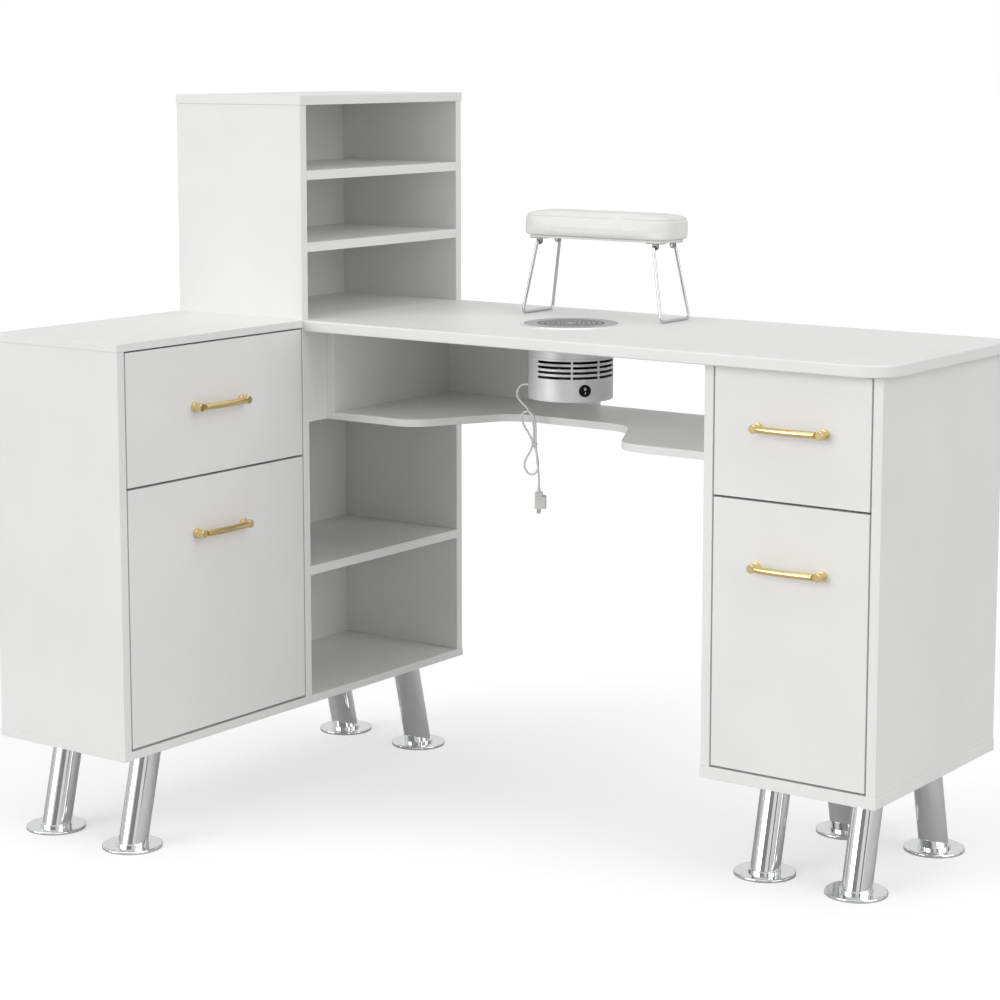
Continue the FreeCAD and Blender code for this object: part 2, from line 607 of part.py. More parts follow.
def rotor():
    shape = disc(HUB_RADIUS, HUB_BOTTOM, HUB_TOP)
    shape = shape.makeFillet(3.0, [e for e in shape.Edges if e.BoundBox.ZMin > HUB_TOP - 1])
    middle = (HUB_BOTTOM + HUB_TOP) / 2
    for i in range(BLADES):
        blade = block(0, BLADE_REACH + 5, -BLADE_CHORD / 2, BLADE_CHORD / 2,
                      -BLADE_THICK / 2, BLADE_THICK / 2)
        blade.rotate(V(0, 0, 0), V(1, 0, 0), BLADE_PITCH)
        blade.translate(V(0, 0, middle))
        blade.rotate(V(0, 0, 0), UP, 360.0 * i / BLADES)
        lane = disc(BLADE_REACH, HUB_BOTTOM, HUB_TOP).cut(disc(HUB_RADIUS - 2, HUB_BOTTOM - 1, HUB_TOP + 1))
        shape = shape.fuse(blade.common(lane))
    return shape.cut(disc(SHAFT_RADIUS + SHAFT_PLAY, HUB_BOTTOM - 1, SHAFT_TOP + 1)).removeSplitter()


def make_switch(shell):
    """Round rocker switch, made facing +X and then turned to its bearing on the shell."""
    face = DUCT_RADIUS + SWITCH_PROUD
    pivot = face - 1.2
    bezel = rod(SWITCH_BODY, (face - SWITCH_DEPTH, 0, SWITCH_Z), (face, 0, SWITCH_Z))
    flange = rod(SWITCH_FLANGE, (DUCT_RADIUS - 1, 0, SWITCH_Z), (face, 0, SWITCH_Z))
    flange = flange.makeFillet(0.7, [e for e in flange.Edges if e.BoundBox.XMin > face - 0.1])
    bezel = bezel.fuse(flange)
    bezel = bezel.cut(rod(SWITCH_WELL, (face - SWITCH_DEPTH + 2, 0, SWITCH_Z), (face + 2, 0, SWITCH_Z)))
    reach = SWITCH_WELL + 0.6
    bezel = bezel.cut(rod(ROCKER_PIN + SHAFT_PLAY, (pivot, -reach - 0.1, SWITCH_Z),
                          (pivot, reach + 0.1, SWITCH_Z)))

    rocker = rod(ROCKER_RADIUS, (pivot - ROCKER_HALF, 0, SWITCH_Z), (pivot + ROCKER_HALF, 0, SWITCH_Z))
    for sign in (-1, 1):
        facet = block(0, 20, -20, 20, -20, 20)
        facet.rotate(V(0, 0, 0), V(0, 1, 0), sign * ROCKER_TILT)
        facet.translate(V(pivot + ROCKER_HALF - 0.6, 0, SWITCH_Z))
        rocker = rocker.cut(facet)
    rocker = rocker.fuse(rod(ROCKER_PIN, (pivot, -reach, SWITCH_Z), (pivot, reach, SWITCH_Z)))
    rocker.rotate(V(pivot, 0, SWITCH_Z), V(0, 1, 0), -ROCKER_TILT)

    centre = (DUCT_X, DUCT_Y, 0)
    bezel = turned(bezel, SWITCH_ANGLE, centre).cut(at_duct(shell))
    save("switch_bezel", bezel)
    save("switch_rocker", turned(rocker, SWITCH_ANGLE, centre))


# ---------------------------------------------------------------- cord and plug
def make_gland(shell, cord_z):
    wall = -DUCT_RADIUS
    tip = wall - GLAND_REACH
    body = rod(GLAND_BODY, (wall + DUCT_WALL + 2, 0, cord_z), (wall, 0, cord_z))
    flange = rod(GLAND_FLANGE, (wall + 1, 0, cord_z), (wall - GLAND_FLANGE_THICK, 0, cord_z))
    taper = Part.makeCone(GLAND_BODY, GLAND_TIP, GLAND_REACH, V(wall, 0, cord_z), V(-1, 0, 0))
    gland = body.fuse(flange.cut(shell)).fuse(taper)
    save("cord_gland", at_duct(gland.cut(shell)))
    assert abs(DUCT_X + tip - CORD_ROUTE[0][0]) < 1e-6


def make_cord():
    bends = loose_bends(CORD_ROUTE)
    cord, length = bent_tube(CORD_ROUTE, CORD_DIAMETER / 2, bends)
    print("cord bend radii", [round(r, 1) for r in bends])
    print("cord length", round(length, 1), "volume", round(cord.Volume),
          "section x length", round(math.pi * (CORD_DIAMETER / 2) ** 2 * length), "valid", cord.isValid())
    save("power_cord", cord)

    save("cord_tie", turned(tie_band(TIE_WALL).cut(tie_band(0.0)), TIE_TURN, (*TIE_CENTRE, 0)))
    make_plug()


def tie_band(wall):
    """Solid of the tie's outline, the wall added round its clear space."""
    half_x, half_y = TIE_SPACE[0] / 2 + wall, TIE_SPACE[1] / 2 + wall
    corners = [(sx * half_x, sy * half_y, half_y - 0.1) for sx, sy in ((-1, -1), (1, -1), (1, 1), (-1, 1))]
    return outline(corners, TIE_HEIGHTS[0]).extrude(V(0, 0, TIE_HEIGHTS[1] - TIE_HEIGHTS[0]))


def make_plug():
    """Two-pin plug, made with its width along X and then turned under the cord."""
    place = CORD_ROUTE[-1]
    wide, thick, tall = PLUG_SIZE
    neck_wide, neck_thick, neck_tall = PLUG_SHOULDER
    shoulder = -PLUG_TAPER
    top = shoulder - neck_tall
    taper = Part.makeCone(CORD_DIAMETER / 2 + 0.3, PLUG_NECK, PLUG_TAPER, V(0, 0, 0), V(0, 0, -1))
    neck = block(-neck_wide / 2, neck_wide / 2, -neck_thick / 2, neck_thick / 2, top - 1, shoulder)
    neck = neck.makeFillet(1.5, [e for e in neck.Edges if e.BoundBox.ZMax > top])
    body = block(-wide / 2, wide / 2, -thick / 2 - PLUG_OFFSET, thick / 2 - PLUG_OFFSET, top - tall, top)
    body = body.makeFillet(2.0, [e for e in body.Edges if e.BoundBox.ZMax > top - tall + 0.1])
    save("plug_body", turned(taper.fuse(neck).fuse(body).removeSplitter(), PLUG_TURN, place))
    prong_thick, prong_wide, prong_tall = BLADE_SIZE
    prongs = []
    for side in (-1, 1):
        px = side * BLADE_SPACING / 2
        prong = block(px - prong_thick / 2, px + prong_thick / 2, -prong_wide / 2, prong_wide / 2,
                      top - tall - prong_tall, top - tall)
        prongs.append(turned(prong, PLUG_TURN, place))
    save("plug_prongs", *prongs)


# ---------------------------------------------------------------- hand rest
def make_hand_rest():
    length, width, height = CUSHION

    def plan(inset):
        half_x, half_y = length / 2 - inset, width / 2 - inset
        radius = CUSHION_CORNER - inset
        return [(REST_X + sx * half_x, REST_Y + sy * half_y, radius)
                for sx, sy in ((-1, -1), (1, -1), (1, 1), (-1, 1))]

    save("rest_cushion", slab(plan(0.0), REST_BOTTOM, REST_BOTTOM + height, CUSHION_ROUND))
    board_bottom = REST_BOTTOM - REST_BOARD
    save("rest_board", slab(plan(REST_BOARD_INSET), board_bottom, REST_BOTTOM, EDGE))

    plate_x, plate_y, plate_z = CLIP_PLATE
    clips = []
    for side in (-1, 1):
        for sy in (-1, 1):
            px, py = REST_X + side * PIVOT_X, REST_Y + sy * PIVOT_HALF_Y
            plate = board(px - plate_x / 2, px + plate_x / 2, py - plate_y / 2, py + plate_y / 2,
                          board_bottom - plate_z, board_bottom, 0.4)
            y0, y1 = py - EYE_WIDTH / 2, py + EYE_WIDTH / 2
            eye = rod(EYE_RADIUS, (px, y0, PIVOT_Z), (px, y1, PIVOT_Z))
            stem = block(px - EYE_RADIUS, px + EYE_RADIUS, y0, y1, PIVOT_Z, board_bottom - plate_z / 2)
            bore = rod(WIRE_RADIUS + WIRE_PLAY, (px, y0 - 1, PIVOT_Z), (px, y1 + 1, PIVOT_Z))
            clips.append(plate.fuse(eye).fuse(stem).cut(bore).removeSplitter())
    save("rest_hinge_clips", *clips)

    foot_z = DESK_TOP + BODY_PLAY + WIRE_RADIUS
    end_y = PIVOT_HALF_Y - EYE_WIDTH / 2 - 1.5
    knee_y = PIVOT_HALF_Y + EYE_WIDTH / 2 + WIRE_END_BEND + 1.0
    for side, name in ((-1, "rest_leg_left"), (1, "rest_leg_right")):
        px = REST_X + side * PIVOT_X
        fx = px + side * FOOT_SPREAD
        route = [(px, REST_Y - end_y, PIVOT_Z), (px, REST_Y - knee_y, PIVOT_Z),
                 (fx, REST_Y - FOOT_HALF_Y, foot_z), (fx, REST_Y + FOOT_HALF_Y, foot_z),
                 (px, REST_Y + knee_y, PIVOT_Z), (px, REST_Y + end_y, PIVOT_Z)]
        bends = [WIRE_END_BEND, WIRE_BEND, WIRE_BEND, WIRE_END_BEND]
        save(name, bent_tube(route, WIRE_RADIUS, bends)[0])


os.makedirs("parts", exist_ok=True)
all_screws = make_legs()
make_left_unit(all_screws)
make_desk()
make_right_cabinet(all_screws)
make_drawers()
make_duct()
make_cord()
make_hand_rest()
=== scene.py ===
import bmesh
import bpy
import json
import math
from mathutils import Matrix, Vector, noise


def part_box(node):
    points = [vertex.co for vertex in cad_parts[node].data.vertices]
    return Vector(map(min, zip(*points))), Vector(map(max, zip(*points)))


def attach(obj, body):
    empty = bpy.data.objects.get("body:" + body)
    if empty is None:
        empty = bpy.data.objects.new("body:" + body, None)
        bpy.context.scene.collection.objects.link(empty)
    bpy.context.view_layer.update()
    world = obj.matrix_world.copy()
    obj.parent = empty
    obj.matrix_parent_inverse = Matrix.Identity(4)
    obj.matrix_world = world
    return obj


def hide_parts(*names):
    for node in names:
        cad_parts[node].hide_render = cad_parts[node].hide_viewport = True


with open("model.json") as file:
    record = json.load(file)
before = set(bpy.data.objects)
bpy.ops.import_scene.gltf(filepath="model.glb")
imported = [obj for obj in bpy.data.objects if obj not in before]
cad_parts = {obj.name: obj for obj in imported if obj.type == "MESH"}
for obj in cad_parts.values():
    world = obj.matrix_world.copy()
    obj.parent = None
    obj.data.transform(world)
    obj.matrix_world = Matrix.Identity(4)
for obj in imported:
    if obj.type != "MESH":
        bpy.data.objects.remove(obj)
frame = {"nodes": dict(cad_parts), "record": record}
nodes = frame["nodes"]
scene = bpy.context.scene
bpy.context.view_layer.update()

BODY = "table"
REST = "hand_rest"


def new_object(name, data):
    made = bpy.data.objects.new(name, data)
    scene.collection.objects.link(made)
    return made


# ---------------------------------------------------------------- camera
LENS_MM = 90.8
SENSOR_MM = 36.0
FRAME_SHIFT = -0.10
CAMERA_PLACE = (2.225, -3.072, 1.2141)
CAMERA_DOWN = 7.879          # degrees below level
CAMERA_TURN = 35.894         # degrees about the upright axis
CLIP_END = 200.0


def make_camera():
    data = bpy.data.cameras.new("camera")
    camera = new_object("camera", data)
    data.lens = LENS_MM
    data.sensor_width = SENSOR_MM
    data.shift_y = FRAME_SHIFT
    data.clip_end = CLIP_END
    camera.location = CAMERA_PLACE
    camera.rotation_euler = (math.radians(90.0 - CAMERA_DOWN), 0.0, math.radians(CAMERA_TURN))
    scene.camera = camera


# ---------------------------------------------------------------- node helpers
class Nodes:
    """A material's node tree with short calls for adding and linking."""

    def __init__(self, tree):
        self.tree = tree
        self.tree.nodes.clear()

    def add(self, kind, **values):
        node = self.tree.nodes.new(kind)
        for key, value in values.items():
            if isinstance(value, bpy.types.NodeSocket):
                self.tree.links.new(value, node.inputs[key.replace("_", " ")])
            elif hasattr(node, key):
                setattr(node, key, value)
            else:
                node.inputs[key.replace("_", " ")].default_value = value
        return node

    def link(self, output, socket):
        self.tree.links.new(output, socket)

    def place(self, scale=(1.0, 1.0, 1.0)):
        """Object coordinates in metres, stretched by scale."""
        coordinates = self.add("ShaderNodeTexCoord")
        mapping = self.add("ShaderNodeMapping", Vector=coordinates.outputs["Object"])
        mapping.inputs["Scale"].default_value = scale
        return mapping.outputs["Vector"]

    def noise(self, vector, scale, detail=3.0, roughness=0.5):
        node = self.add("ShaderNodeTexNoise", Vector=vector)
        node.inputs["Scale"].default_value = scale
        node.inputs["Detail"].default_value = detail
        node.inputs["Roughness"].default_value = roughness
        return node.outputs["Fac"]

    def band(self, value, low, high):
        """A 0 to 1 value spread over low to high."""
        node = self.add("ShaderNodeMapRange", Value=value)
        node.inputs["To Min"].default_value = low
        node.inputs["To Max"].default_value = high
        return node.outputs["Result"]

    def ramp(self, value, stops):
        node = self.add("ShaderNodeValToRGB", Fac=value)
        elements = node.color_ramp.elements
        for element, (position, colour) in zip(elements, stops):
            element.position = position
            element.color = (*colour, 1.0)
        return node.outputs["Color"]

    def bump(self, height, strength, distance, normal=None):
        node = self.add("ShaderNodeBump", Height=height)
        node.inputs["Strength"].default_value = strength
        node.inputs["Distance"].default_value = distance
        if normal is not None:
            self.link(normal, node.inputs["Normal"])
        return node.outputs["Normal"]


def shader(name, **sockets):
    material = bpy.data.materials.new(name)
    material.use_nodes = True
    n = Nodes(material.node_tree)
    principled = n.add("ShaderNodeBsdfPrincipled")
    output = n.add("ShaderNodeOutputMaterial")
    n.link(principled.outputs["BSDF"], output.inputs["Surface"])
    for socket, value in sockets.items():
        principled.inputs[socket.replace("_", " ")].default_value = value
    return material, n, principled


def shade(colour, factor):
    return tuple(min(1.0, channel * factor) for channel in colour)


def tint(n, principled, value, colour, darker, lighter, ends=(0.3, 0.7)):
    """Base colour that runs from darker to lighter times colour as value passes from end to end."""
    stops = [(ends[0], shade(colour, darker)), (ends[1], shade(colour, lighter))]
    n.link(n.ramp(value, stops), principled.inputs["Base Color"])


# ---------------------------------------------------------------- materials
def board_material(name, colour, rough=(0.34, 0.46), texture=0.05):
    """Satin lacquered board: slight mottling, faint long pores, fine orange peel."""
    material, n, principled = shader(name, Specular_IOR_Level=0.42)
    tint(n, principled, n.noise(n.place(), 7.0, 4.0), colour, 0.975, 1.015)
    n.link(n.band(n.noise(n.place(), 60.0), *rough), principled.inputs["Roughness"])
    pores = n.bump(n.noise(n.place((55.0, 55.0, 2.5)), 12.0, 5.0, 0.6), texture, 0.0006)
    peel = n.bump(n.noise(n.place(), 900.0, 2.0), 0.05, 0.0003, pores)
    n.link(peel, principled.inputs["Normal"])
    return material


def metal_material(name, colour, rough, stretch=(1.0, 1.0, 1.0), scale=300.0, variation=0.06, scratch=0.05):
    """Metal with fine marks stretched along one axis and slightly uneven polish."""
    material, n, principled = shader(name, Metallic=1.0)
    marks = n.noise(n.place(stretch), scale, 4.0, 0.6)
    tint(n, principled, marks, colour, 1.0 - variation, 1.0 + variation, (0.25, 0.75))
    n.link(n.band(n.noise(n.place(stretch), scale * 0.4), *rough), principled.inputs["Roughness"])
    n.link(n.bump(marks, scratch, 0.0002), principled.inputs["Normal"])
    return material


def grille_material(name, face, slot_painted_shade):
    """Grey plate whose upright slot walls are coloured near black as painted shade for the dark slots, told
    apart by the object's own normal.
    """
    material, n, principled = shader(name, Metallic=0.0, Specular_IOR_Level=0.12)
    split = n.add("ShaderNodeSeparateXYZ", Vector=n.add("ShaderNodeTexCoord").outputs["Normal"])
    marks = n.noise(n.place(), 900.0, 3.0)
    upward = n.add("ShaderNodeMath", operation="ABSOLUTE", Value=split.outputs["Z"])
    spread = n.add("ShaderNodeMath", operation="MULTIPLY_ADD", Value=marks)
    spread.inputs[1].default_value = 0.08
    n.link(upward.outputs[0], spread.inputs[2])
    # The near-black colour on the upright slot walls is painted shade, not the grille's own colour.
    n.link(n.ramp(spread.outputs[0], [(0.7, slot_painted_shade), (0.98, face)]), principled.inputs["Base Color"])
    n.link(n.band(marks, 0.55, 0.68), principled.inputs["Roughness"])
    n.link(n.bump(marks, 0.03, 0.0002), principled.inputs["Normal"])
    return material


def plastic_material(name, colour, rough, scale=700.0, strength=0.12, metallic=0.0, gloss=0.45):
    """Moulded or painted surface with a fine spark-eroded texture."""
    material, n, principled = shader(name, Specular_IOR_Level=gloss, Metallic=metallic)
    cloud = n.noise(n.place(), 45.0, 3.0)
    tint(n, principled, cloud, colour, 0.96, 1.03)
    n.link(n.band(cloud, *rough), principled.inputs["Roughness"])
    n.link(n.bump(n.noise(n.place(), scale, 3.0), strength, 0.0003), principled.inputs["Normal"])
    return material


def vinyl_material(name, colour):
    """Soft upholstery vinyl: pebbled leather grain with finer pores on it."""
    material, n, principled = shader(name, Specular_IOR_Level=0.5, Coat_Weight=0.08, Coat_Roughness=0.4)
    cells = n.add("ShaderNodeTexVoronoi", Vector=n.place())
    cells.inputs["Scale"].default_value = 620.0
    cells.feature = "DISTANCE_TO_EDGE"
    cells.inputs["Randomness"].default_value = 0.9
    creases = n.ramp(cells.outputs["Distance"], [(0.0, (0.0, 0.0, 0.0)), (0.35, (1.0, 1.0, 1.0))])
    mottle = n.noise(n.place(), 24.0, 4.0)
    tint(n, principled, mottle, colour, 0.965, 1.01)
    n.link(n.band(mottle, 0.4, 0.56), principled.inputs["Roughness"])
    pebbles = n.bump(creases, 0.22, 0.0003)
    n.link(n.bump(n.noise(n.place(), 1800.0, 2.0), 0.08, 0.0002, pebbles), principled.inputs["Normal"])
    return material


def felt_material(name, colour):
    """Matted fibres lying mostly one way."""
    material, n, principled = shader(name, Roughness=0.95, Sheen_Weight=0.3)
    fibres = n.noise(n.place((1.0, 6.0, 1.0)), 500.0, 5.0, 0.7)
    tint(n, principled, fibres, colour, 0.7, 1.3)
    n.link(n.bump(fibres, 0.6, 0.001), principled.inputs["Normal"])
    return material


FLOOR_LIFT = 0.48            # strength of the floor's glow, which only the camera sees


def floor_material():
    """Pale seamless floor, lifted towards white without lighting the furniture from below."""
    material, n, principled = shader("floor_pale", Emission_Color=(1.0, 1.0, 1.0, 1.0))
    n.link(n.ramp(n.noise(n.place(), 1.5, 2.0), [(0.3, (0.6, 0.6, 0.6)), (0.7, (0.62, 0.62, 0.62))]),
           principled.inputs["Base Color"])
    n.link(n.band(n.noise(n.place(), 9.0), 0.75, 0.85), principled.inputs["Roughness"])
    path = n.add("ShaderNodeLightPath")
    n.link(n.band(path.outputs["Is Camera Ray"], 0.0, FLOOR_LIFT), principled.inputs["Emission Strength"])
    return material


BOARD_WHITE = (0.86, 0.858, 0.85)
MATERIALS = {
    "white_board": board_material("white_board", BOARD_WHITE),
    "white_front": board_material("white_front", BOARD_WHITE, rough=(0.3, 0.4)),
    "drawer_inside": board_material("drawer_inside", (0.8, 0.79, 0.77), rough=(0.5, 0.6), texture=0.1),
    "slide_steel": metal_material("slide_steel", (0.62, 0.63, 0.65), (0.28, 0.42), (3.0, 3.0, 40.0)),
    "chrome_leg": metal_material("chrome_leg", (0.8, 0.805, 0.81), (0.05, 0.11), (1.0, 1.0, 0.2), 90.0,
                                 0.03, 0.015),
    "gold_handle": metal_material("gold_handle", (0.8, 0.62, 0.3), (0.16, 0.24), (1.0, 1.0, 22.0), 160.0,
                                  0.07),
    "satin_silver": plastic_material("satin_silver", (0.84, 0.84, 0.845), (0.3, 0.4), 1200.0, 0.04, 0.4),
    # The near-black second colour is painted shade on the grille's slot walls.
    "grille_grey": grille_material("grille_grey", (0.46, 0.46, 0.463), (0.008, 0.008, 0.008)),
    "filter_cloth": felt_material("filter_cloth", (0.02, 0.02, 0.022)),
    "fan_plastic": plastic_material("fan_plastic", (0.03, 0.03, 0.032), (0.4, 0.55)),
    "motor_steel": metal_material("motor_steel", (0.2, 0.2, 0.21), (0.4, 0.5)),
    "switch_plastic": plastic_material("switch_plastic", (0.006, 0.006, 0.007), (0.3, 0.4), gloss=0.2),
    "cord_white": plastic_material("cord_white", (0.82, 0.82, 0.81), (0.4, 0.5), 900.0),
    "plug_white": plastic_material("plug_white", (0.82, 0.82, 0.8), (0.42, 0.55)),
    "prong_brass": metal_material("prong_brass", (0.7, 0.68, 0.62), (0.2, 0.3)),
    "cushion_vinyl": vinyl_material("cushion_vinyl", (0.83, 0.825, 0.81)),
    "rest_board_wood": vinyl_material("rest_board_vinyl", (0.8, 0.795, 0.78)),
    "clip_steel": metal_material("clip_steel", (0.3, 0.28, 0.26), (0.3, 0.4)),
    "wire_chrome": metal_material("wire_chrome", (0.6, 0.6, 0.605), (0.1, 0.2)),
    "mark_white": plastic_material("mark_white", (0.93, 0.93, 0.93), (0.45, 0.55)),
}


def dress_frame():
    for part in frame["record"]["subparts"]:
        mesh = nodes[part["node"]].data
        mesh.materials.clear()
        mesh.materials.append(MATERIALS[part["material_slot"]])


# ---------------------------------------------------------------- piece helpers
def add_piece(name, data, material, body):
    piece = new_object(name, data)
    data.materials.append(MATERIALS[material])
    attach(piece, body)
    return piece


def smooth(mesh):
    for polygon in mesh.polygons:
        polygon.use_smooth = True


def mesh_from(bm, name):
    mesh = bpy.data.meshes.new(name)
    bm.to_mesh(mesh)
    bm.free()
    return mesh


def loft(bm, rings, closed=False):
    """Skin over rings of points: capped at both ends, or joined end to end when closed."""
    following = rings[1:] + rings[:1] if closed else rings[1:]
    for first, second in zip(rings, following):
        for i in range(len(first)):
            j = (i + 1) % len(first)
            bm.faces.new((first[i], first[j], second[j], second[i]))
    if not closed:
        bm.faces.new(list(reversed(rings[0])))
        bm.faces.new(rings[-1])


def box_of(node):
    low, high = (Vector(corner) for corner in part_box(node))
    return low, high


# ---------------------------------------------------------------- power cord
CORD_DIAMETER = 0.0034
CORD_ROUTE_MM = [
    (-86.0, 200.5, 685.0), (-98.0, 200.5, 685.0), (-107.9, 200.3, 677.0), (-110.1, 200.0, 665.1),
    (-101.6, 199.6, 656.1), (-87.6, 199.0, 646.6), (-77.8, 198.5, 633.7), (-74.4, 198.1, 614.8),
    (-74.7, 198.0, 595.8), (-79.2, 198.1, 580.3), (-88.6, 198.5, 567.2), (-94.6, 199.0, 556.0),
    (-92.4, 199.5, 546.0), (-85.4, 200.0, 539.2), (-75.8, 200.5, 539.4), (-69.2, 201.0, 546.4),
    (-68.2, 201.5, 557.0), (-71.4, 202.1, 573.5), (-77.8, 202.2, 589.8), (-87.2, 201.5, 605.7),
    (-96.8, 199.6, 619.5), (-99.6, 197.2, 633.0), (-90.4, 195.4, 642.4), (-77.6, 194.4, 641.4),
    (-69.6, 194.0, 630.6), (-67.8, 194.0, 614.6), (-68.5, 194.0, 597.1), (-66.8, 194.0, 579.6),
    (-64.9, 194.0, 562.6), (-62.6, 194.0, 547.1), (-61.7, 194.0, 534.0), (-61.7, 194.0, 521.6),
]


def make_cord():
    curve = bpy.data.curves.new("power_cord_line", "CURVE")
    curve.dimensions = "3D"
    curve.bevel_depth = CORD_DIAMETER / 2
    curve.bevel_resolution = 4
    curve.use_fill_caps = True
    spline = curve.splines.new("NURBS")
    spline.points.add(len(CORD_ROUTE_MM) - 1)
    for point, place in zip(spline.points, CORD_ROUTE_MM):
        point.co = (*[value / 1000 for value in place], 1.0)
    spline.order_u = 3
    spline.use_endpoint_u = True
    spline.resolution_u = 10
    cord = add_piece("power_cord_soft", curve, "cord_white", BODY)
    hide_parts("power_cord")


# ---------------------------------------------------------------- hand-rest cushion
PAD_INSET = 0.0022
PAD_CORNER = 0.0235
PAD_CORNER_LOSS = 0.9        # corner radius lost for each unit inward
PAD_FOOT = ((0.0002, 0.0022), (0.003, 0.0))                                      # height, inward
PAD_CROWN = ((0.010, 0.0), (0.0058, 0.002), (0.0032, 0.006), (0.002, 0.012))     # depth, inward
PAD_VOXEL = 0.004
PAD_HELD = 0.004             # the lowest part, which the board holds still
PAD_PRESSURE = 4.0
CLOTH_QUALITY = 6
CLOTH_FRAMES = 20
CUSHION_CAP = 0.004
WRINKLE_SCALE = 22.0
WRINKLE = 0.0004
SEAM_DROP = 0.009            # below the cushion's top
SEAM_DEPTH = 0.0017
SEAM_HALF = 0.0015
SIDE_TILT = 0.8              # a point is on the side while its normal's Z is under this


def plan_outline(half_x, half_y, corner, steps=10):
    """Points round a rectangle with rounded corners, counter-clockwise."""
    points = []
    for quarter, (sx, sy) in enumerate(((1, 1), (-1, 1), (-1, -1), (1, -1))):
        for i in range(steps + 1):
            angle = math.radians(90.0 * quarter + 90.0 * i / steps)
            points.append((sx * (half_x - corner) + corner * math.cos(angle),
                           sy * (half_y - corner) + corner * math.sin(angle)))
    return points


def cushion_start(low, high):
    """Closed pad a little inside the cushion's box, its rims rounded."""
    middle = (low + high) / 2
    half_x, half_y = (high.x - low.x) / 2 - PAD_INSET, (high.y - low.y) / 2 - PAD_INSET
    levels = [(low.z + height, inward) for height, inward in PAD_FOOT]
    levels += [(high.z - depth, inward) for depth, inward in PAD_CROWN]
    bm = bmesh.new()
    rings = []
    for z, inward in levels:
        outline = plan_outline(half_x - inward, half_y - inward, PAD_CORNER - inward * PAD_CORNER_LOSS)
        rings.append([bm.verts.new((middle.x + x, middle.y + y, z)) for x, y in outline])
    loft(bm, rings)
    return mesh_from(bm, "rest_cushion_soft")


def apply_modifiers(piece):
    """Replaces the piece's mesh by what its modifiers make of it."""
    evaluated = piece.evaluated_get(bpy.context.evaluated_depsgraph_get())
    mesh = bpy.data.meshes.new_from_object(evaluated)
    piece.modifiers.clear()
    old, piece.data = piece.data, mesh
    bpy.data.meshes.remove(old)


def puff(piece, low):
    """Blows the pad up as cloth, then holds each point within CUSHION_CAP of where it began."""
    rest = [v.co.copy() for v in piece.data.vertices]
    held = piece.vertex_groups.new(name="held")
    held.add([v.index for v in piece.data.vertices if v.co.z < low.z + PAD_HELD], 1.0, "REPLACE")
    cloth = piece.modifiers.new("cloth", "CLOTH")
    cloth.settings.use_pressure = True
    cloth.settings.uniform_pressure_force = PAD_PRESSURE
    cloth.settings.effector_weights.gravity = 0.0
    cloth.settings.vertex_group_mass = "held"
    cloth.settings.quality = CLOTH_QUALITY
    for number in range(1, CLOTH_FRAMES + 1):
        scene.frame_set(number)
    apply_modifiers(piece)
    scene.frame_set(1)
    for vertex, start in zip(piece.data.vertices, rest):
        moved = vertex.co - start
        if moved.length > CUSHION_CAP:
            vertex.co = start + moved.normalized() * CUSHION_CAP


def press_seam(mesh, high):
    """Pulls the cover in along the sewn line that runs round near the top of the side."""
    line = high.z - SEAM_DROP
    mesh.update()
    normals = [vertex.normal.copy() for vertex in mesh.vertices]
    for vertex, normal in zip(mesh.vertices, normals):
        off = abs(vertex.co.z - line) / SEAM_HALF
        if off < 1.0 and abs(normal.z) < SIDE_TILT:
            vertex.co -= Vector((normal.x, normal.y, 0.0)).normalized() * SEAM_DEPTH * (1.0 - off * off)


def keep_inside(mesh, low, high):
    """Brings points that stand out of the CAD cushion's box back onto it."""
    for vertex in mesh.vertices:
        for axis in range(3):
            vertex.co[axis] = min(max(vertex.co[axis], low[axis]), high[axis])


def make_cushion():
    low, high = box_of("rest_cushion")
    piece = new_object("rest_cushion_soft", cushion_start(low, high))
    remesh = piece.modifiers.new("remesh", "REMESH")
    remesh.mode = "VOXEL"
    remesh.voxel_size = PAD_VOXEL
    apply_modifiers(piece)
    puff(piece, low)
    subdivide = piece.modifiers.new("subdivide", "SUBSURF")
    subdivide.levels = 2
    subdivide.render_levels = 2
    apply_modifiers(piece)
    normals = [vertex.normal.copy() for vertex in piece.data.vertices]
    for vertex, normal in zip(piece.data.vertices, normals):
        vertex.co += normal * noise.noise(vertex.co * WRINKLE_SCALE) * WRINKLE
    press_seam(piece.data, high)
    keep_inside(piece.data, low, high)
    smooth(piece.data)
    piece.data.materials.clear()
    piece.data.materials.append(MATERIALS["cushion_vinyl"])
    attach(piece, REST)
    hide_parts("rest_cushion")
    make_stitches(piece, low, high)


STITCH_RISE = 0.0024         # above the seam line
STITCH_PITCH = 0.0042
STITCH_HALF = 0.0014
STITCH_LIFT = 0.00005
STITCH_TAPER = ((-1.0, 0.25), (-0.6, 1.0), (0.6, 1.0), (1.0, 0.25))              # place, thickness
THREAD_RADIUS = 0.00028
LOOK_OUT = 0.01              # how far outside the cover its surface is looked for from
LOOK_CORNER = 0.035
LOOK_STEPS = 24


